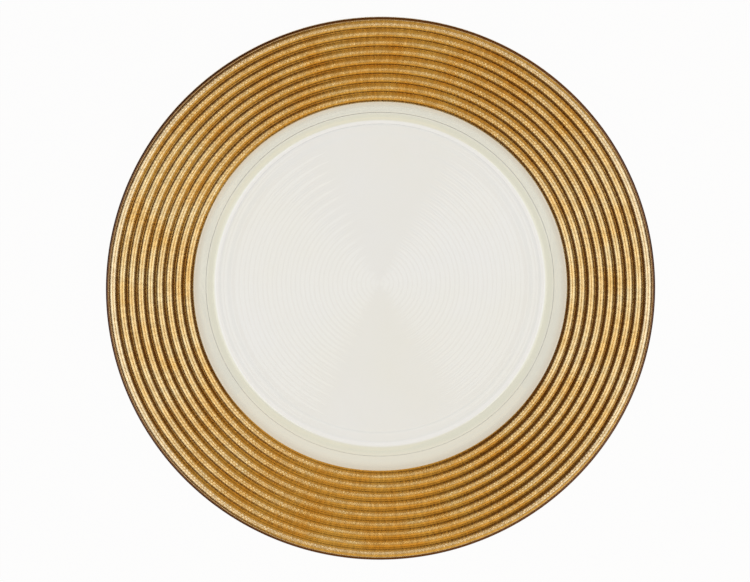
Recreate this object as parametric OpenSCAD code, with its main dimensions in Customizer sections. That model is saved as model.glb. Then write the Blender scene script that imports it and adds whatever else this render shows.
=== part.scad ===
/* [Plate] */
// Diameter over the rim
plate_d = 330; // [290:1:370]
// Height over the table, to the crest of the outermost rib
plate_h = 25.9; // [23:0.1:32]
// Thickness of the glass under the roots of the ribs
wall = 3.6; // [2.8:0.1:4.4]
// Rounding of the rim's outer edge, above and below
edge_r = 1; // [0.5:0.1:1.2]

/* [Rim] */
// Slope of the rim, in degrees
rim_slope = 12; // [8:0.5:14]
// Number of gilded ribs round the rim
rib_count = 9; // [6:1:10]
// Distance from one rib to the next, measured level
rib_pitch = 5.66; // [5:0.02:6]
// Height of a rib over its roots
rib_height = 1.15; // [1:0.05:2.2]
// Lip left outside the last rib
lip_w = 1.7; // [1.3:0.05:3]

/* [Gold] */
// Thickness of the gold coat over the ribs
gold_t = 0.25; // [0.15:0.05:0.4]

/* [Verge] */
// Slope of the verge between the floor and the rim, in degrees
verge_slope = 45; // [38:1:55]
// Radius of the hollow where the floor turns up
hollow_r = 8; // [6:0.5:10]
// Radius under the shoulder where the verge turns into the rim
shoulder_r = 3; // [2:0.5:5]
// Number of faint ribs under the verge
verge_ribs = 2; // [1:1:3]

/* [Floor] */
// Height of the floor's underside over the table
foot_h = 1; // [0.6:0.1:2.4]
// Radius to which the foot ring's low section is rounded
foot_r = 5.7; // [4:0.1:7]
// Width of the flat on which the foot ring stands
foot_w = 3; // [2:0.5:4]
// Flat floor left between the foot ring and the hollow
foot_inset = 0.5; // [0.5:0.1:6]
// Distance from one ripple of the floor to the next
ripple_pitch = 5.65; // [5:0.05:7]
// Depth of the faint ripples under the floor and the verge
ripple_depth = 0.25; // [0.1:0.05:0.4]

/* [Hidden] */

// Straight steps that stand for the arc of a rib, of a ripple and of a bend
rib_steps = 14;
ripple_steps = 6;
bend_steps = 12;
turn_fn = 180;

plate_r = plate_d / 2;
floor_top = foot_h + wall;

// The rim runs down and in from its edge. Its ribs stand on a line of roots, each an arc over one chord.
gold_r = plate_r - lip_w;
gold_in_r = gold_r - rib_count * rib_pitch;
rib_chord = rib_pitch / cos(rim_slope);
rib_r = (rib_chord * rib_chord / 4 + rib_height * rib_height) / (2 * rib_height);
rim_rise = (rib_count - 1 / 2) * rib_chord * sin(rim_slope);
rim_root = [gold_in_r, plate_h - gold_t - rib_r - rim_rise + (rib_r - rib_height) * cos(rim_slope)];

// The lip carries the line of roots on to the rounded edge.
edge_x = plate_r - edge_r;
edge_top = [edge_x, rim_root[1] + (edge_x - gold_in_r) * tan(rim_slope) - edge_r / cos(rim_slope)];
edge_under = edge_top - [0, (wall - 2 * edge_r) / cos(rim_slope)];

// The gold covers the lip and ends on the rounded edge before it would stand out past the glass.
gold_end = acos(edge_r / (edge_r + gold_t));
gold_steps = floor(bend_steps * (90 + rim_slope - gold_end) / (90 + rim_slope));

// The shoulder turns the rim into the verge about one centre, which lies under both.
shoulder = rim_root - (shoulder_r + wall) * dir(90 + rim_slope);
shoulder_end = shoulder + shoulder_r * dir(90 + verge_slope);

// The verge runs straight down from the shoulder to the hollow, which starts where the floor ends.
verge_rise = shoulder_end[1] + wall * cos(verge_slope) - floor_top - hollow_r * (1 - cos(verge_slope));
verge_len = verge_rise / sin(verge_slope);
verge_start = shoulder_end - verge_len * dir(verge_slope);
floor_r = verge_start[0] - (hollow_r + wall) * sin(verge_slope);
hollow = [floor_r, floor_top + hollow_r];

// The foot ring is a low rounded ridge under the floor with a flat to stand on.
foot_rise = sqrt(foot_r * foot_r - foot_w * foot_w / 4);
foot_root_angle = asin((foot_h - foot_rise) / foot_r);
foot_flat_angle = -asin(foot_rise / foot_r);
foot_half = foot_r * cos(foot_root_angle);
foot_mid = [floor_r - foot_inset - foot_half, foot_rise];
ripple_count = floor((foot_mid[0] - foot_half) / ripple_pitch - 1 / 2);

// Unit vector at an angle from level
function dir(angle) = [cos(angle), sin(angle)];

// Points along an arc, with both its ends
function arc(centre, radius, from, to, steps = bend_steps) =
    [for (i = [0 : steps]) centre + radius * dir(from + (to - from) * i / steps)];

// Every point of a list but the last
function open_end(points) = [for (i = [0 : len(points) - 2]) points[i]];

function reversed(points) = [for (i = [len(points) - 1 : -1 : 0]) points[i]];

// Outer faces of a row of equal ribs on a sloping line of roots, raised by a coat. The ribs stand up
// for a side of 1 and hang down for -1. Neighbours meet in an edge over their common root.
function rib_row(root, slope, chord, height, count, steps, side, coat = 0) =
    let (radius = (chord * chord / 4 + height * height) / (2 * height),
         half = asin(chord / 2 / (radius + coat)),
         out = slope + side * 90,
         mids = [for (i = [0 : count - 1])
                    root + (i + 1 / 2) * chord * dir(slope) + (height - radius) * dir(out)])
    concat([for (mid = mids) each open_end(arc(mid, radius + coat, out + side * half, out - side * half, steps))],
           [mids[count - 1] + (radius + coat) * dir(out - side * half)]);

// Upper faces of the gilded ribs, raised by a coat
function rim_ribs(coat) = rib_row(rim_root, rim_slope, rib_chord, rib_height, rib_count, rib_steps, 1, coat);

// Upper bend of the rounded edge, raised by a coat
function edge_bend(coat) = arc(edge_top, edge_r + coat, 90 + rim_slope, 0);

// Faces of the gold over the ribs and the lip, raised by a coat
function gilded(coat) = concat(rim_ribs(coat), [for (i = [0 : gold_steps]) edge_bend(coat)[i]]);

// Lower faces of the faint ribs along the verge
function verge_row() = rib_row(verge_start, verge_slope, verge_len / verge_ribs, ripple_depth, verge_ribs,
                               ripple_steps, -1);

// Lower faces of the floor's ripples, rings about a half ripple in the middle
function floor_ripples() =
    let (row = rib_row([-ripple_pitch / 2, foot_h], 0, ripple_pitch, ripple_depth, ripple_count + 1,
                       ripple_steps, -1))
    [for (p = [for (i = [ripple_steps / 2 : len(row) - 1]) row[i]]) [max(p[0], 0), p[1]]];

function foot_ridge() = concat(
    arc(foot_mid, foot_r, foot_root_angle, foot_flat_angle),
    arc(foot_mid, foot_r, 180 - foot_flat_angle, 180 - foot_root_angle));

// The glass from the middle out over its floor and ribs, round the edge and back along its underside
module glass_section() {
    polygon(concat(
        [[0, floor_top]],
        arc(hollow, hollow_r, -90, verge_slope - 90),
        open_end(arc(shoulder, shoulder_r + wall, 90 + verge_slope, 90 + rim_slope)),
        rim_ribs(0),
        edge_bend(0),
        arc(edge_under, edge_r, 0, rim_slope - 90),
        arc(shoulder, shoulder_r, 90 + rim_slope, 90 + verge_slope),
        open_end(reversed(open_end(verge_row()))),
        arc(hollow, hollow_r + wall, verge_slope - 90, -90),
        foot_ridge(),
        reversed(floor_ripples())));
}

// The ring between the rim's upper face and a coat over it
module gold_section() {
    polygon(concat(gilded(0), reversed(gilded(gold_t))));
}

module glass_plate() {
    color([0.88, 0.94, 0.91, 0.5])
        rotate_extrude($fn = turn_fn)
            glass_section();
}

module gold_coat() {
    color("goldenrod")
        rotate_extrude($fn = turn_fn)
            gold_section();
}

glass_plate();
gold_coat();
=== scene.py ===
"""A charger plate of pressed clear glass with a gilded ribbed rim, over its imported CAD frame."""
import math
import random

import bmesh
import bpy
from bpy.props import FloatProperty, FloatVectorProperty, IntProperty, PointerProperty
from mathutils import Matrix, Vector


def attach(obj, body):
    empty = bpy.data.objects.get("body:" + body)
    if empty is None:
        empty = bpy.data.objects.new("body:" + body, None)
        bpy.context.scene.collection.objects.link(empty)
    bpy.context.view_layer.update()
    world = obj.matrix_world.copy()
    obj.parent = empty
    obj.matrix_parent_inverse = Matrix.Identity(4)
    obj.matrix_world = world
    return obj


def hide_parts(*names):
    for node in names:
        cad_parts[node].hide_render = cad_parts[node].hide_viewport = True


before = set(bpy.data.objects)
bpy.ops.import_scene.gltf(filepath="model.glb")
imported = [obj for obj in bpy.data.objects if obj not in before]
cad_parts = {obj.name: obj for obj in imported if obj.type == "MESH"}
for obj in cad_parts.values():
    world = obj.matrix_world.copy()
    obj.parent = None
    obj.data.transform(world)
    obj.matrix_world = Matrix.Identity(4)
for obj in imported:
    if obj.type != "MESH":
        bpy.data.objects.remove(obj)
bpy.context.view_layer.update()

bl_info = {
    "name": "Charger Plate",
    "version": (1, 0, 0),
    "blender": (4, 5, 0),
    "location": "View3D > Sidebar > Plate",
    "description": "Builds a charger plate's glass and gilded ribs, and the table it stands on",
    "category": "Add Mesh",
}

QUARTER = math.pi / 2

# The picture's size and the pixel at which the camera aims, in pixels from the top left
PICTURE_W, PICTURE_H = 750, 582
AIM_X, AIM_Y = 380.63, 289.03
SENSOR_W = 36.0
SIGHT_END = 50.0

# Air left under the flat of the foot ring, so that its face and the table's aren't one
TABLE_GAP = 0.00008
TABLE_HALF = 6.0

# Shares of the way at which a straight face of the glass gets its points
FLOOR_SHARES = (0.1, 0.3, 0.5, 0.7, 0.9, 0.996)
RIM_SHARES = (0.004, 0.25, 0.5, 0.75, 0.996)
BAND_SHARES = (0.05, 0.5, 0.95)
FOOT_SHARES = (0.3, 0.9)

# Straight steps that stand for each bend of the glass
RIB_STEPS = 7
EDGE_STEPS = 8
FOOT_STEPS = 8
HOLLOW_STEPS, HOLLOW_UNDER_STEPS = 14, 28
SHOULDER_STEPS, SHOULDER_UNDER_STEPS = 10, 16
VERGE_RIB_STEPS = 16
RIPPLE_STEPS = 8

# Straight steps over the lip's gold and along the back of a rib's gold
LIP_STEPS = 7
BACK_STEPS = 5

# Steps that the lip's gold has round the axis to one of the glass
LIP_FINER = 2

# How often the first share of a turn is doubled until it is the whole turn
GLASS_DOUBLINGS = 5
RIB_DOUBLINGS = 4

# Points nearer than the first are one, and edges shorter than the second are none
WELD, SPECK = 1e-7, 1e-8

# An edge that bends more than this is shaded sharp
SHARP = math.radians(38)

# Share of the full depth that the shallowest nick across a rib has
SHALLOWEST = 0.1

# Parts of a noise's range over which a mask of it grows from 0 to 1
MOTTLE_ENDS = (0.32, 0.68)
STROKE_ENDS = (0.35, 0.65)


def length(name, description, default):
    """A size in metres."""
    return FloatProperty(name=name, description=description, default=default, precision=5,
                         unit="LENGTH")


def slope(name, description, degrees):
    """An angle, given in degrees."""
    return FloatProperty(name=name, description=description, default=math.radians(degrees),
                         subtype="ANGLE")


def share(name, description, default):
    """A share, from none to all."""
    return FloatProperty(name=name, description=description, default=default, min=0.0, max=1.0,
                         subtype="FACTOR")


def whole(name, description, default, least):
    """A whole number."""
    return IntProperty(name=name, description=description, default=default, min=least)


def colour(name, description, default):
    """A linear colour."""
    return FloatVectorProperty(name=name, description=description, default=default, size=3,
                               min=0.0, max=1.0, subtype="COLOR")


class PlateSizes(bpy.types.PropertyGroup):
    """Sizes of the glass, as in the CAD source but for the cove, the shoulder and the verge"""

    plate_d: length("Plate diameter", "Diameter over the rim", 0.330)
    plate_h: length("Plate height", "Height to the crest of the outermost rib", 0.0259)
    wall: length("Wall", "Thickness of the glass under the roots of the ribs", 0.0036)
    edge_r: length("Edge rounding", "Rounding of the rim's outer edge", 0.001)
    rim_slope: slope("Rim slope", "Slope of the rim", 12)
    rib_count: whole("Ribs", "Number of gilded ribs round the rim", 9, least=1)
    rib_pitch: length("Rib pitch", "Distance from one rib to the next, measured level", 0.00566)
    rib_height: length("Rib height", "Height of a rib over its roots", 0.00115)
    lip_w: length("Lip", "Lip left outside the last rib", 0.0017)
    verge_slope: slope("Verge slope", "Slope of the verge between the floor and the rim", 45)
    hollow_r: length("Hollow", "Radius of the hollow where the floor turns up", 0.008)
    shoulder_r: length("Shoulder", "Radius on which the verge turns into the rim", 0.003)
    shoulder_bend: length("Shoulder bend", "Radius to which the fire has softened the underside "
                          "of the shoulder", 0.009)
    verge_ribs: whole("Verge ribs", "Number of faint ribs under the verge", 2, least=1)
    verge_depth: length("Verge rib depth", "Depth of the faint ribs under the verge", 0.00005)
    verge_groove: length("Verge groove", "How deep the lowest root under the verge is cut", 0.00015)
    foot_h: length("Foot height", "Height of the floor's underside over the table", 0.001)
    foot_r: length("Foot rounding", "Radius to which the foot ring's section is rounded", 0.0057)
    foot_w: length("Foot flat", "Width of the flat on which the foot ring stands", 0.003)
    foot_cove: length("Foot cove", "Radius of the cove at the foot ring's inner root", 0.004)
    foot_inset: length("Foot inset", "Flat left between the foot ring and the hollow", 0.0005)
    ripple_pitch: length("Ripple pitch", "Distance from one ripple to the next", 0.00565)
    ripple_depth: length("Ripple depth", "Depth of the ripples under the floor", 0.00025)
    turn_steps: whole("Turn steps", "Steps of the glass round the axis", 256, least=32)


class GiltSizes(bpy.types.PropertyGroup):
    """Sizes and colours of the gold coat"""

    coat: length("Coat", "Thickness of the gold coat over the ribs", 0.00025)
    sunk: length("Sunk", "How far the gold's back sits in the glass, so that no gap shows", 0.00004)
    bead_pitch: length("Bead pitch", "Distance from one nick across a rib to the next", 0.00215)
    bead_depth: length("Bead depth", "Depth of the nicks across the ribs", 0.00006)
    bead_steps: whole("Bead steps", "Steps of a rib from one nick to the next", 5, least=3)
    rib_steps: whole("Rib steps", "Steps across the face of a rib", 10, least=4)
    bright: colour("Bright gold", "Colour of the bright gold", (0.95, 0.79, 0.43))
    # Painted highlight: the gold over the outermost rib is paler, standing in for the bright
    # reflection along it
    painted_highlight: colour("Pale gold", "Colour of the gold over the outermost rib", (0.98, 0.84, 0.53))
    deep: colour("Deep gold", "Colour of the gold where the film is thin", (0.90, 0.62, 0.215))
    # This colour darkens the gold in a band all round the outer edge
    worn: colour("Worn gold", "Colour of the gold that is worn thin along the outer edge",
                 (0.17, 0.08, 0.035))
    dark_edge_fade: length("Worn fade", "Width over which the gold turns worn", 0.0004)
    # The strokes' darkening is painted shade of the nicks across the ribs
    tick_shade: share("Tick shade", "How much darker the fine strokes across a rib are", 0.16)
    smooth: share("Smooth gold", "Roughness of the gold where it is smoothest", 0.23)
    rough: share("Rough gold", "Roughness of the gold where it is roughest", 0.31)
    lacquer: share("Lacquer", "Weight of the clear lacquer over the gold", 0.9)
    lacquer_rough: share("Lacquer roughness", "Roughness of that lacquer", 0.12)


class StudioSizes(bpy.types.PropertyGroup):
    """The table, the camera, the room's light and the tints of the glass"""

    distance: length("Camera distance", "From the camera to the plate", 8.0)
    tilt: slope("Camera tilt", "Lean of the camera from straight above", 9.1)
    turn: slope("Camera turn", "Turn of that lean to the left", 8.0)
    view_h: length("Aimed height", "Height over the table at which the camera aims", 0.0239)
    scale: FloatProperty(name="Scale", description="Pixels to a metre at the aimed height",
                         default=1664.8, min=1.0)
    world: FloatProperty(name="Room light", description="Level of the light from the room",
                         default=0.08, min=0.0)
    room: colour("Room", "Colour of the light from the room", (1.0, 0.38, 0.08))
    warm: colour("Warm light", "Colour of the fill lamps", (1.0, 0.615, 0.145))
    table: colour("Table", "Colour of the white table", (0.9, 0.9, 0.9))
    table_worn: share("Table wear", "Share of its white that the table keeps where worn", 0.985)
    table_share: share("Table white", "How much of the table's look is plain white", 0.97)
    table_share_through: share("Table white beyond", "How much of it is plain white in the glass "
                               "and the gold", 0.86)
    glass_rough: share("Glass roughness", "Roughness of the glass where it is roughest", 0.012)
    glass: colour("Glass", "Tint of the clear glass", (0.895, 0.90, 0.885))
    glass_warm: colour("Warm glass", "Tint of the glass where it is warmer", (0.89, 0.887, 0.835))
    # Painted light: the glass is brighter where the floor turns up, standing in for light it bends
    # onto the table
    painted_caustic_ring: colour("Floor edge", "Tint where the floor turns up", (0.93, 0.93, 0.905))
    # Painted shade of the gilded rim and painted reflection of its gold: the slope's tints and the
    # one by the gilding
    slope_shade_and_reflection: colour("Slope", "Tint on the slope between floor and rim", (0.83, 0.82, 0.69))
    upper_shade_and_reflection: colour("Upper slope", "Tint on its upper half", (0.845, 0.83, 0.73))
    rim_shade_and_reflection: colour("Gold mist", "Tint of the glass beside the gilding", (0.78, 0.71, 0.58))
    glass_shadow: colour("Glass shadow", "What the glass leaves of a lamp's light",
                         (0.93, 0.95, 0.92))


def settings(name):
    """One of the scene's groups of sizes."""
    return getattr(bpy.context.scene, name)


def ray(angle):
    """Unit vector at an angle from level, in the section: outward and up."""
    return Vector((math.cos(angle), math.sin(angle)))


def arc(centre, radius, start, end, steps):
    """Points along an arc, with both its ends."""
    return [centre + radius * ray(start + (end - start) * i / steps) for i in range(steps + 1)]


def straight(start, end, shares):
    """Points between two ends, at the given shares of the way."""
    return [start.lerp(end, s) for s in shares]


def bow(chord, height):
    """Radius of an arc that stands to a height over a chord."""
    return (chord ** 2 / 4 + height ** 2) / (2 * height)


class Section:
    """The plate's section, from the same sizes and by the same rules as the CAD source.

    Beneath, the shoulder, the verge's ribs, the floor's ripples and the foot's inner root are
    softer than there.
    """

    def __init__(self, s):
        self.s = s
        coat = settings("plate_gilt").coat
        rim_level = math.cos(s.rim_slope)
        self.floor_top = s.foot_h + s.wall

        gold_in_r = s.plate_d / 2 - s.lip_w - s.rib_count * s.rib_pitch
        self.chord = s.rib_pitch / rim_level
        self.rib_r = bow(self.chord, s.rib_height)
        rise = (s.rib_count - 0.5) * self.chord * math.sin(s.rim_slope)
        rise += self.rib_r - (self.rib_r - s.rib_height) * rim_level
        self.root = Vector((gold_in_r, s.plate_h - coat - rise))

        edge_x = s.plate_d / 2 - s.edge_r
        rise = (edge_x - gold_in_r) * math.tan(s.rim_slope) - s.edge_r / rim_level
        self.edge_top = Vector((edge_x, self.root.y + rise))
        self.edge_under = self.edge_top - Vector((0, (s.wall - 2 * s.edge_r) / rim_level))
        self.gold_end = math.acos(s.edge_r / (s.edge_r + coat))

        self.shoulder = self.root - (s.shoulder_r + s.wall) * ray(QUARTER + s.rim_slope)
        shoulder_end = self.shoulder + s.shoulder_r * ray(QUARTER + s.verge_slope)
        verge_level = math.cos(s.verge_slope)
        rise = shoulder_end.y + s.wall * verge_level - self.floor_top
        rise -= s.hollow_r * (1 - verge_level)
        self.verge_len = rise / math.sin(s.verge_slope)
        self.verge_start = shoulder_end - self.verge_len * ray(s.verge_slope)
        self.floor_r = self.verge_start.x - (s.hollow_r + s.wall) * math.sin(s.verge_slope)
        self.hollow = Vector((self.floor_r, self.floor_top + s.hollow_r))

        foot_rise = math.sqrt(s.foot_r ** 2 - s.foot_w ** 2 / 4)
        self.foot_root = math.asin((s.foot_h - foot_rise) / s.foot_r)
        self.foot_flat = -math.asin(foot_rise / s.foot_r)
        foot_half = s.foot_r * math.cos(self.foot_root)
        self.foot = Vector((self.floor_r - s.foot_inset - foot_half, foot_rise))
        self.ripples = math.floor((self.foot.x - foot_half) / s.ripple_pitch - 0.5)

    def rib_middle(self, number):
        """Centre of a rib's round face."""
        along = self.root + (number + 0.5) * self.chord * ray(self.s.rim_slope)
        return along + (self.s.rib_height - self.rib_r) * ray(QUARTER + self.s.rim_slope)

    def rib_face(self, number, coat, steps):
        """Points over one rib from its inner root to its outer one, raised by a coat."""
        radius = self.rib_r + coat
        half = math.asin(self.chord / 2 / radius)
        out = QUARTER + self.s.rim_slope
        return arc(self.rib_middle(number), radius, out + half, out - half, steps)

    def lip_face(self, coat):
        """Points from the last root to where the gold ends on the edge, raised by a coat."""
        s = self.s
        root = self.rib_face(s.rib_count - 1, coat, 1)[-1]
        bend = arc(self.edge_top, s.edge_r + coat, QUARTER + s.rim_slope, self.gold_end, LIP_STEPS)
        return [root, *bend]

    def shoulder_under(self):
        """Points along the softened underside of the shoulder, from the rim to the verge."""
        s = self.s
        mid = (s.verge_slope + s.rim_slope) / 2
        off = (s.shoulder_bend - s.shoulder_r) / math.cos(mid - s.rim_slope)
        return arc(self.shoulder - off * ray(QUARTER + mid), s.shoulder_bend,
                   QUARTER + s.rim_slope, QUARTER + s.verge_slope, SHOULDER_UNDER_STEPS)

    def verge_under(self):
        """Points along the faint ribs under the verge, from the groove at their lowest root."""
        s = self.s
        softened = (s.shoulder_bend - s.shoulder_r) * math.tan((s.verge_slope - s.rim_slope) / 2)
        chord = (self.verge_len - softened) / s.verge_ribs
        radius = bow(chord, s.verge_depth)
        half = math.asin(chord / 2 / radius)
        out = s.verge_slope - QUARTER
        line = [self.verge_start - s.verge_groove * ray(out)]
        for number in range(s.verge_ribs):
            along = self.verge_start + (number + 0.5) * chord * ray(s.verge_slope)
            middle = along + (s.verge_depth - radius) * ray(out)
            line += arc(middle, radius, out - half, out + half, VERGE_RIB_STEPS)[1:]
        return line

    def foot_under(self):
        """Points over the foot ring, from its outer root, over its flat and up its inner cove."""
        s = self.s
        line = arc(self.foot, s.foot_r, self.foot_root, self.foot_flat, FOOT_STEPS)
        reach = s.foot_r + s.foot_cove
        lean = math.acos((self.foot.y - s.foot_h + s.foot_cove) / reach)
        line += arc(self.foot, s.foot_r, math.pi - self.foot_flat, math.pi + QUARTER - lean,
                    FOOT_STEPS)
        cove = self.foot - reach * ray(QUARTER - lean)
        return line + arc(cove, s.foot_cove, QUARTER - lean, QUARTER, FOOT_STEPS)[1:]

    def floor_under(self):
        """Points along the soft ripples under the floor, from its middle to the last root."""
        s = self.s

        def point(out, swell):
            return Vector((out, s.foot_h - s.ripple_depth * swell / 2))

        half = RIPPLE_STEPS // 2
        line = [point(0, 2)]
        line += [point(s.ripple_pitch / 2 * i / half, 1 + math.cos(math.pi * i / half))
                 for i in range(1, half)]
        return line + [point(s.ripple_pitch * (0.5 + i / RIPPLE_STEPS),
                             1 - math.cos(2 * math.pi * i / RIPPLE_STEPS))
                       for i in range(self.ripples * RIPPLE_STEPS + 1)]

    def glass(self):
        """The glass from the middle of its floor, over the ribs, round the edge and beneath."""
        s = self.s
        floor_mid = Vector((0, self.floor_top))
        floor_end = Vector((self.floor_r, self.floor_top))
        line = [floor_mid, *straight(floor_mid, floor_end, FLOOR_SHARES)]
        line += arc(self.hollow, s.hollow_r, -QUARTER, s.verge_slope - QUARTER, HOLLOW_STEPS)
        shoulder_top = arc(self.shoulder, s.shoulder_r + s.wall, QUARTER + s.verge_slope,
                           QUARTER + s.rim_slope, SHOULDER_STEPS)
        line += straight(line[-1], shoulder_top[0], BAND_SHARES)
        line += shoulder_top[:-1]
        for number in range(s.rib_count):
            line += self.rib_face(number, 0, RIB_STEPS)[:-1]
        line.append(self.root + s.rib_count * self.chord * ray(s.rim_slope))
        line += arc(self.edge_top, s.edge_r, QUARTER + s.rim_slope, 0, EDGE_STEPS)
        line += arc(self.edge_under, s.edge_r, 0, s.rim_slope - QUARTER, EDGE_STEPS)
        shoulder_under = self.shoulder_under()
        line += straight(line[-1], shoulder_under[0], RIM_SHARES)
        line += shoulder_under[:-1]
        line += self.verge_under()[::-1]
        line += arc(self.hollow, s.hollow_r + s.wall, s.verge_slope - QUARTER, -QUARTER,
                    HOLLOW_UNDER_STEPS)[1:]
        foot_under = self.foot_under()
        line += straight(line[-1], foot_under[0], BAND_SHARES)
        line += foot_under
        floor_under = self.floor_under()
        line += straight(line[-1], floor_under[-1], FOOT_SHARES)
        return line + floor_under[::-1]


def turned(points, steps, doublings, closed=False):
    """A mesh that a section makes when it is turned once round the plate's axis.

    A spin makes one share of the turn, and copies of it fill the rest, twice as much each time.
    """
    bm = bmesh.new()
    verts = [bm.verts.new((p.x, 0, p.y)) for p in points]
    ends = verts[1:] + verts[:1] if closed else verts[1:]
    edges = [bm.edges.new(pair) for pair in zip(verts, ends)]
    shares = 2 ** doublings
    angle = 2 * math.pi / shares
    bmesh.ops.spin(bm, geom=verts + edges, cent=(0, 0, 0), axis=(0, 0, 1), dvec=(0, 0, 0),
                   angle=angle, steps=round(steps / shares), use_merge=False,
                   use_duplicate=False)
    for _ in range(doublings):
        copied = bmesh.ops.duplicate(bm, geom=bm.verts[:] + bm.edges[:] + bm.faces[:])["geom"]
        bmesh.ops.rotate(bm, cent=(0, 0, 0), matrix=Matrix.Rotation(angle, 3, "Z"),
                         verts=[e for e in copied if isinstance(e, bmesh.types.BMVert)])
        angle *= 2
    return bm


def finished(bm, name, material):
    """Closes a mesh, faces it outwards, shades it and puts it in the scene on the plate's body."""
    bmesh.ops.remove_doubles(bm, verts=bm.verts, dist=WELD)
    bmesh.ops.dissolve_degenerate(bm, dist=SPECK, edges=bm.edges)
    bmesh.ops.recalc_face_normals(bm, faces=bm.faces)
    for face in bm.faces:
        face.smooth = True
    for edge in bm.edges:
        edge.smooth = edge.calc_face_angle(0.0) < SHARP
    mesh = bpy.data.meshes.new(name)
    bm.to_mesh(mesh)
    bm.free()
    mesh.materials.append(material)
    piece = bpy.data.objects.new(name, mesh)
    bpy.context.scene.collection.objects.link(piece)
    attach(piece, "root")
    return piece


def feed(tree, socket, value):
    """Gives a socket a plain value, or what another socket puts out."""
    if isinstance(value, bpy.types.NodeSocket):
        tree.links.new(value, socket)
    else:
        socket.default_value = (*value, 1) if socket.type == "RGBA" else value


def fill(tree, made, **values):
    """Gives a node its properties and its sockets' values by name, in the order named."""
    for key, value in values.items():
        if key in made.inputs:
            feed(tree, made.inputs[key], value)
        else:
            setattr(made, key, value)
    return made


def node(tree, kind, at, *ordered, **named):
    """A shader node at a place in the tree, with its sockets filled in order or by name."""
    made = tree.nodes.new(kind)
    made.location = at
    fill(tree, made, **named)
    for socket, value in zip(made.inputs, ordered):
        feed(tree, socket, value)
    return made


def ranged(tree, value, at, source=(0.0, 1.0), target=(0.0, 1.0), **named):
    """Carries a value from one range to another."""
    ends = {"From Min": source[0], "From Max": source[1], "To Min": target[0], "To Max": target[1]}
    return node(tree, "ShaderNodeMapRange", at, Value=value, **named, **ends).outputs["Result"]


def tinted(tree, mask, low, high, at, **named):
    """A colour that a mask carries from one to another, each a fixed colour or another mix."""
    mix = node(tree, "ShaderNodeMix", at, data_type="RGBA", Factor=mask, A=low, B=high, **named)
    return mix.outputs["Result"]


def shown(tree, surface, at):
    """Makes a shader what a material or the world shows."""
    output = tree.nodes.get("Material Output") or tree.nodes["World Output"]
    output.location = at
    tree.links.new(surface.outputs[0], output.inputs["Surface"])


def new_material(name):
    """A new material, its tree and its Principled shader."""
    material = bpy.data.materials.new(name)
    material.use_nodes = True
    return material, material.node_tree, material.node_tree.nodes["Principled BSDF"]


def own_place(tree, at):
    """Where a point lies, on its object's own coordinates."""
    return node(tree, "ShaderNodeTexCoord", at).outputs["Object"]


def from_axis(tree, place, at):
    """How far a place lies from the plate's axis."""
    level = node(tree, "ShaderNodeVectorMath", (at[0] - 180, at[1]), place, (1, 1, 0),
                 operation="MULTIPLY")
    away = node(tree, "ShaderNodeVectorMath", at, level.outputs["Vector"], operation="LENGTH")
    return away.outputs["Value"]


def radius_mask(tree, start, end, at):
    """A mask that grows from 0 to 1 between two radii about the plate's axis."""
    x, y = at
    away = from_axis(tree, own_place(tree, (x - 540, y)), (x - 180, y))
    return ranged(tree, away, at, source=(start, end), interpolation_type="SMOOTHSTEP")


def mottle_group():
    """Slow and fine unevenness that the gold, the glass and the table all have."""
    name = "Mottle"
    if name in bpy.data.node_groups:
        return bpy.data.node_groups[name]
    group = bpy.data.node_groups.new(name, "ShaderNodeTree")
    sockets = group.interface
    sockets.new_socket("Vector", in_out="INPUT", socket_type="NodeSocketVector")
    for title, scale in (("Broad Scale", 40.0), ("Fine Scale", 900.0)):
        made = sockets.new_socket(title, in_out="INPUT", socket_type="NodeSocketFloat")
        made.default_value = scale
    for title in ("Broad", "Fine"):
        sockets.new_socket(title, in_out="OUTPUT", socket_type="NodeSocketFloat")
    start = node(group, "NodeGroupInput", (-600, 0)).outputs
    end = node(group, "NodeGroupOutput", (300, 0)).inputs
    for row, title in enumerate(("Broad", "Fine")):
        noise = node(group, "ShaderNodeTexNoise", (-350, -260 * row), Vector=start["Vector"],
                     Scale=start[title + " Scale"], Detail=3.0, Roughness=0.55)
        mask = ranged(group, noise.outputs["Fac"], (-80, -260 * row), source=MOTTLE_ENDS)
        feed(group, end[title], mask)
    return group


def mottle(tree, at, broad, fine):
    """The shared unevenness in a material: its broad mask and its fine one."""
    made = node(tree, "ShaderNodeGroup", at, node_tree=mottle_group(),
                Vector=own_place(tree, (at[0] - 220, at[1])),
                **{"Broad Scale": broad, "Fine Scale": fine})
    return made.outputs["Broad"], made.outputs["Fine"]


def strokes(tree, pitch, long, at):
    """Short strokes across the ribs, a pitch apart round the plate and each about a rib long."""
    x, y = at
    place = own_place(tree, (x - 1080, y))
    parts = node(tree, "ShaderNodeSeparateXYZ", (x - 900, y), place).outputs
    angle = node(tree, "ShaderNodeMath", (x - 720, y), parts["Y"], parts["X"],
                 operation="ARCTAN2")
    along = node(tree, "ShaderNodeMath", (x - 540, y), angle.outputs[0],
                 settings("plate_sizes").plate_d / 2 / pitch, operation="MULTIPLY")
    across = node(tree, "ShaderNodeMath", (x - 540, y - 200),
                  from_axis(tree, place, (x - 720, y - 200)), 1 / long, operation="MULTIPLY")
    grid = node(tree, "ShaderNodeCombineXYZ", (x - 360, y), along.outputs[0], across.outputs[0])
    noise = node(tree, "ShaderNodeTexNoise", (x - 180, y), noise_dimensions="2D",
                 Vector=grid.outputs["Vector"], Scale=1.0, Detail=0.0)
    return ranged(tree, noise.outputs["Fac"], at, source=STROKE_ENDS)


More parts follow.
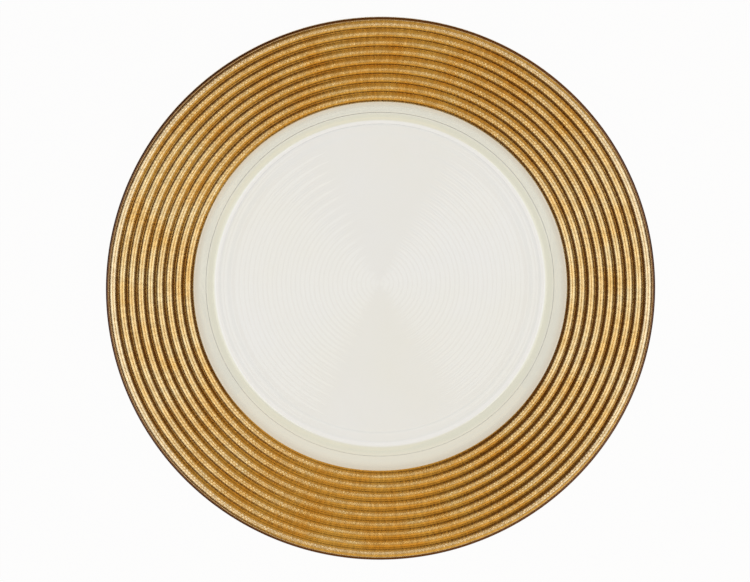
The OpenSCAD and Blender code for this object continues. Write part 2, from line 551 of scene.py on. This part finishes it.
def gilt_material():
    """Bright fired gold: deeper where the film is thin, with a fine grain, and with fine strokes
    that bump it and are darkened as painted shade.

    A clear lacquer lies over it, the outermost rib is paler as a painted highlight, and the gold
    along the edge outside it is darkened.
    """
    g, s = settings("plate_gilt"), settings("plate_sizes")
    material, tree, shader = new_material("fired_gold")
    broad, fine = mottle(tree, (-900, 0), broad=55.0, fine=1400.0)
    ticks = strokes(tree, g.bead_pitch, s.rib_pitch, (-900, -500))
    last_root = s.plate_d / 2 - s.lip_w
    last_rib = last_root - s.rib_pitch
    outermost = radius_mask(tree, last_rib, last_rib + s.rib_pitch / 2, (-800, 900))
    # The gold's colour is darkened in a band all round the outer edge, from the last root out
    worn = radius_mask(tree, last_root, last_root + g.dark_edge_fade, (-420, 650))
    tone = tinted(tree, broad, g.deep, g.bright, (-800, 150))
    # Painted highlight: the outermost rib's gold is turned paler
    tone = tinted(tree, outermost, tone, g.painted_highlight, (-600, 150))
    # Painted shade: the fine strokes darken the gold's colour, standing in for the shade of the
    # nicks
    shade = tinted(tree, ticks, [1 - g.tick_shade] * 3, (1, 1, 1), (-600, 400))
    tone = tinted(tree, 1.0, tone, shade, (-420, 250), blend_type="MULTIPLY", clamp_result=True)
    grain = node(tree, "ShaderNodeBump", (-400, -250), Strength=0.06, Distance=0.00002,
                 Height=fine)
    stroke = node(tree, "ShaderNodeBump", (-200, -350), Strength=0.25, Distance=0.00005,
                  Height=ticks, Normal=grain.outputs["Normal"])
    fill(tree, shader, Metallic=1.0, Normal=stroke.outputs["Normal"],
         Roughness=ranged(tree, fine, (-600, -60), target=(g.smooth, g.rough)),
         **{"Base Color": tinted(tree, worn, tone, g.worn, (-200, 150)),
            "Coat Weight": g.lacquer, "Coat Roughness": g.lacquer_rough})
    return material


# Each tint painted on the glass from its middle outwards, with the two radii between which it
# takes over: a painted ring of bent light, then painted shade and painted reflection of the gilt
# rim
GLASS_BANDS = (
    ("painted_caustic_ring", 0.0962, 0.0974),
    ("slope_shade_and_reflection", 0.0990, 0.1004),
    ("upper_shade_and_reflection", 0.1040, 0.1050),
    ("rim_shade_and_reflection", 0.1085, 0.1125),
)


def glass_material():
    """Clear fire-polished glass, with a painted ring of bent light, and painted shade and painted
    reflection of the gilded rim on the slope and beside the gilding.

    It lets the lamps' light through to the table.
    """
    s = settings("plate_studio")
    material, tree, shader = new_material("clear_glass")
    broad, fine = mottle(tree, (-900, 0), broad=9.0, fine=260.0)
    tone = tinted(tree, broad, s.glass, s.glass_warm, (-500, 300))
    # Painted light, painted shade and painted reflection, each laid on the glass between two radii
    for row, (tint, start, end) in enumerate(GLASS_BANDS):
        mask = radius_mask(tree, start, end, (-700, 600 + 300 * row))
        tone = tinted(tree, mask, tone, getattr(s, tint), (180 * row - 320, 300))
    polish = node(tree, "ShaderNodeBump", (-300, -250), Strength=0.12, Distance=0.0001,
                  Height=broad)
    fill(tree, shader, IOR=1.5, Normal=polish.outputs["Normal"],
         Roughness=ranged(tree, fine, (-600, -60), target=(0.0, s.glass_rough)),
         **{"Base Color": tone, "Transmission Weight": 1.0})
    clear = node(tree, "ShaderNodeBsdfTransparent", (0, 250), Color=s.glass_shadow)
    path = node(tree, "ShaderNodeLightPath", (0, 600)).outputs
    mix = node(tree, "ShaderNodeMixShader", (280, 100), path["Is Shadow Ray"],
               shader.outputs["BSDF"], clear.outputs["BSDF"])
    shown(tree, mix, (500, 0))
    return material


def table_material():
    """White table: lit by the lamps, and white by itself to the camera, the gold and the glass.

    It can be seen through from below.
    """
    s = settings("plate_studio")
    material, tree, shader = new_material("white_table")
    broad, _ = mottle(tree, (-900, 0), broad=3.0, fine=60.0)
    worn = [c * s.table_worn for c in s.table]
    fill(tree, shader, Roughness=0.9,
         **{"Base Color": tinted(tree, broad, worn, s.table, (-300, 150)),
            "Specular IOR Level": 0.0})
    path = node(tree, "ShaderNodeLightPath", (-420, 700)).outputs
    beyond = node(tree, "ShaderNodeMath", (-200, 640), path["Is Glossy Ray"],
                  path["Is Transmission Ray"], operation="ADD", use_clamp=True)
    dimmed = node(tree, "ShaderNodeMath", (-20, 600), beyond.outputs[0], s.table_share_through,
                  operation="MULTIPLY")
    white = node(tree, "ShaderNodeMath", (160, 560), path["Is Camera Ray"], s.table_share,
                 dimmed.outputs[0], operation="MULTIPLY_ADD", use_clamp=True)
    glow = node(tree, "ShaderNodeEmission", (120, 300), Strength=1.0)
    top = node(tree, "ShaderNodeMixShader", (320, 100), white.outputs[0], shader.outputs["BSDF"],
               glow.outputs["Emission"])
    side = node(tree, "ShaderNodeNewGeometry", (320, 500)).outputs
    clear = node(tree, "ShaderNodeBsdfTransparent", (320, -100))
    mix = node(tree, "ShaderNodeMixShader", (520, 100), side["Backfacing"],
               top.outputs["Shader"], clear.outputs["BSDF"])
    shown(tree, mix, (720, 0))
    return material


class PLATE_OT_glass(bpy.types.Operator):
    """Press the plate's clear glass"""

    bl_idname = "plate.glass"
    bl_label = "Press the Glass"

    def execute(self, context):
        s = settings("plate_sizes")
        bm = turned(Section(s).glass(), s.turn_steps, GLASS_DOUBLINGS)
        piece = finished(bm, "pressed_glass", glass_material())
        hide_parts("glass_plate")
        return {"FINISHED"}


class PLATE_OT_gilding(bpy.types.Operator):
    """Gild the rim, one ring of gold to a rib and one to the lip"""

    bl_idname = "plate.gilding"
    bl_label = "Gild the Ribs"

    def execute(self, context):
        s, g = settings("plate_sizes"), settings("plate_gilt")
        section = Section(s)
        material = gilt_material()
        shares = 2 ** RIB_DOUBLINGS
        for number in range(s.rib_count):
            middle = section.rib_middle(number)
            beads = shares * round(2 * math.pi * middle.x / g.bead_pitch / shares)
            front = section.rib_face(number, g.coat, g.rib_steps)
            back = section.rib_face(number, -g.sunk, BACK_STEPS)
            bm = turned(front + back[::-1], beads * g.bead_steps, RIB_DOUBLINGS, closed=True)
            self.nick(bm, section, number, beads)
            self.keep(bm, f"gold_rib_{number + 1}", material)
        lip = section.lip_face(g.coat) + section.lip_face(-g.sunk)[::-1]
        bm = turned(lip, LIP_FINER * s.turn_steps, GLASS_DOUBLINGS, closed=True)
        self.keep(bm, "gold_lip", material)
        return {"FINISHED"}

    def keep(self, bm, name, material):
        """Finishes a ring of the gold."""
        piece = finished(bm, name, material)
        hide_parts("gold_coat")

    def nick(self, bm, section, number, beads):
        """Sinks shallow nicks across a rib's face, each a little different, but not its roots."""
        g, s = settings("plate_gilt"), settings("plate_sizes")
        chance = random.Random(number)
        deep = [chance.uniform(SHALLOWEST, 1.0) for _ in range(beads)]
        middle = section.rib_middle(number)
        radius = section.rib_r + g.coat
        half = math.asin(section.chord / 2 / radius)
        up = QUARTER + s.rim_slope
        for v in bm.verts:
            away = math.hypot(v.co.x, v.co.y)
            off = Vector((away, v.co.z)) - middle
            if off.length < radius - g.coat / 2:
                continue
            lean = abs(math.atan2(off.y, off.x) - up) / half
            round_way = (math.atan2(v.co.y, v.co.x) / (2 * math.pi)) % 1.0 * beads
            nearest = deep[int(round_way + 0.5) % beads]
            depth = nearest * (1 + math.cos(2 * math.pi * round_way)) / 2
            sink = g.bead_depth * depth * max(0.0, math.cos(QUARTER * min(1.0, lean)))
            moved = off.normalized() * sink
            v.co.x -= moved.x * v.co.x / away
            v.co.y -= moved.x * v.co.y / away
            v.co.z -= moved.y


# Each lamp's name, turn round the plate and lean from straight above in degrees, distance,
# width and depth in metres, level, and whether its light is warm
LAMPS = (
    ("box_right", -24, 23.0, 1.42, 0.66, 0.85, 1.26, False),
    ("box_left", 209, 22.5, 1.42, 0.62, 0.85, 1.26, False),
    ("overhead", -90, 5, 1.4, 0.50, 1.10, 0.34, True),
    ("front", -64, 54, 1.8, 2.4, 0.85, 0.66, True),
    ("front_high", -90, 34, 1.6, 0.9, 0.35, 0.42, True),
    ("back_high", 57, 34, 1.6, 1.5, 0.75, 0.48, True),
    ("back", 74, 66, 1.9, 3.0, 0.55, 0.44, True),
    ("back_low", 90, 82, 2.0, 7.0, 0.50, 0.62, True),
)

# The point that all lamps face
LAMPS_FACE = Vector((0, 0, 0.02))


class PLATE_OT_studio(bpy.types.Operator):
    """Set the table, the lamps and the camera"""

    bl_idname = "plate.studio"
    bl_label = "Set the Table"

    def execute(self, context):
        self.table(context)
        self.room(context)
        self.lamps(context)
        self.camera(context)
        return {"FINISHED"}

    def table(self, context):
        """A white table just under the foot ring."""
        bm = bmesh.new()
        bmesh.ops.create_grid(bm, x_segments=8, y_segments=8, size=TABLE_HALF)
        mesh = bpy.data.meshes.new("table_top")
        bm.to_mesh(mesh)
        bm.free()
        mesh.materials.append(table_material())
        mesh.transform(Matrix.Translation((0, 0, -TABLE_GAP)))
        top = bpy.data.objects.new("table_top", mesh)
        context.scene.collection.objects.link(top)

    def room(self, context):
        """A dim warm room that is white to the camera."""
        s = settings("plate_studio")
        world = bpy.data.worlds.new("room")
        world.use_nodes = True
        tree = world.node_tree
        dim = fill(tree, tree.nodes["Background"], Color=s.room, Strength=s.world)
        white = node(tree, "ShaderNodeBackground", (0, 100), Color=(1, 1, 1), Strength=1.0)
        path = node(tree, "ShaderNodeLightPath", (0, 500)).outputs
        mix = node(tree, "ShaderNodeMixShader", (240, 300), path["Is Camera Ray"],
                   dim.outputs["Background"], white.outputs["Background"])
        shown(tree, mix, (440, 300))
        context.scene.world = world

    def lamps(self, context):
        """Soft boxes that face the plate, each at its own level whatever its size."""
        s = settings("plate_studio")
        for name, turn, lean, distance, wide, deep, level, warm in LAMPS:
            lamp = bpy.data.lights.new(name, "AREA")
            lamp.shape = "RECTANGLE"
            lamp.size, lamp.size_y = wide, deep
            lamp.energy = level * math.pi * wide * deep
            if warm:
                lamp.color = s.warm
            holder = bpy.data.objects.new(name, lamp)
            holder.visible_camera = False
            lean, turn = math.radians(lean), math.radians(turn)
            away = Vector((math.sin(lean) * math.cos(turn), math.sin(lean) * math.sin(turn),
                           math.cos(lean)))
            across = away.cross(Vector((1, 0, 0))).normalized()
            place = Matrix.Translation(LAMPS_FACE + away * distance)
            axes = Matrix((across.cross(away), across, away)).transposed()
            holder.matrix_world = place @ axes.to_4x4()
            context.scene.collection.objects.link(holder)

    def camera(self, context):
        """The camera, leaned and framed as in the picture."""
        s = settings("plate_studio")
        toward = Vector((-math.sin(s.turn) * math.sin(s.tilt), math.cos(s.turn) * math.sin(s.tilt),
                         math.cos(s.tilt)))
        up = Vector((0, 1, 0))
        up = (up - toward * up.dot(toward)).normalized()
        camera = bpy.data.objects.new("camera", bpy.data.cameras.new("camera"))
        place = Matrix.Translation(Vector((0, 0, s.view_h)) + toward * s.distance)
        axes = Matrix((up.cross(toward), up, toward)).transposed()
        camera.matrix_world = place @ axes.to_4x4()
        camera.data.sensor_width = SENSOR_W
        camera.data.lens = SENSOR_W * s.distance / (PICTURE_W / s.scale)
        camera.data.shift_x = (PICTURE_W / 2 - AIM_X) / PICTURE_W
        camera.data.shift_y = (AIM_Y - PICTURE_H / 2) / PICTURE_W
        camera.data.clip_end = SIGHT_END
        context.scene.collection.objects.link(camera)
        context.scene.camera = camera
        context.scene.view_settings.view_transform = "Standard"


class PLATE_PT_panel(bpy.types.Panel):
    """Buttons and sizes for the charger plate"""

    bl_idname = "PLATE_PT_panel"
    bl_label = "Charger Plate"
    bl_space_type = "VIEW_3D"
    bl_region_type = "UI"
    bl_category = "Plate"

    def draw(self, context):
        for operator in (PLATE_OT_studio, PLATE_OT_glass, PLATE_OT_gilding):
            self.layout.operator(operator.bl_idname)
        for name in ("plate_sizes", "plate_gilt", "plate_studio"):
            group = settings(name)
            box = self.layout.box()
            for key in group.bl_rna.properties.keys():
                if key not in ("rna_type", "name"):
                    box.prop(group, key)


CLASSES = (PlateSizes, GiltSizes, StudioSizes, PLATE_OT_glass, PLATE_OT_gilding, PLATE_OT_studio,
           PLATE_PT_panel)


def register():
    for cls in CLASSES:
        bpy.utils.register_class(cls)
    bpy.types.Scene.plate_sizes = PointerProperty(type=PlateSizes)
    bpy.types.Scene.plate_gilt = PointerProperty(type=GiltSizes)
    bpy.types.Scene.plate_studio = PointerProperty(type=StudioSizes)


def unregister():
    del bpy.types.Scene.plate_studio, bpy.types.Scene.plate_gilt, bpy.types.Scene.plate_sizes
    for cls in reversed(CLASSES):
        bpy.utils.unregister_class(cls)


def main():
    """Builds the whole scene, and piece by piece."""
    register()
    bpy.ops.plate.studio()
    bpy.ops.plate.glass()
    bpy.ops.plate.gilding()


if __name__ == "__main__":
    main()
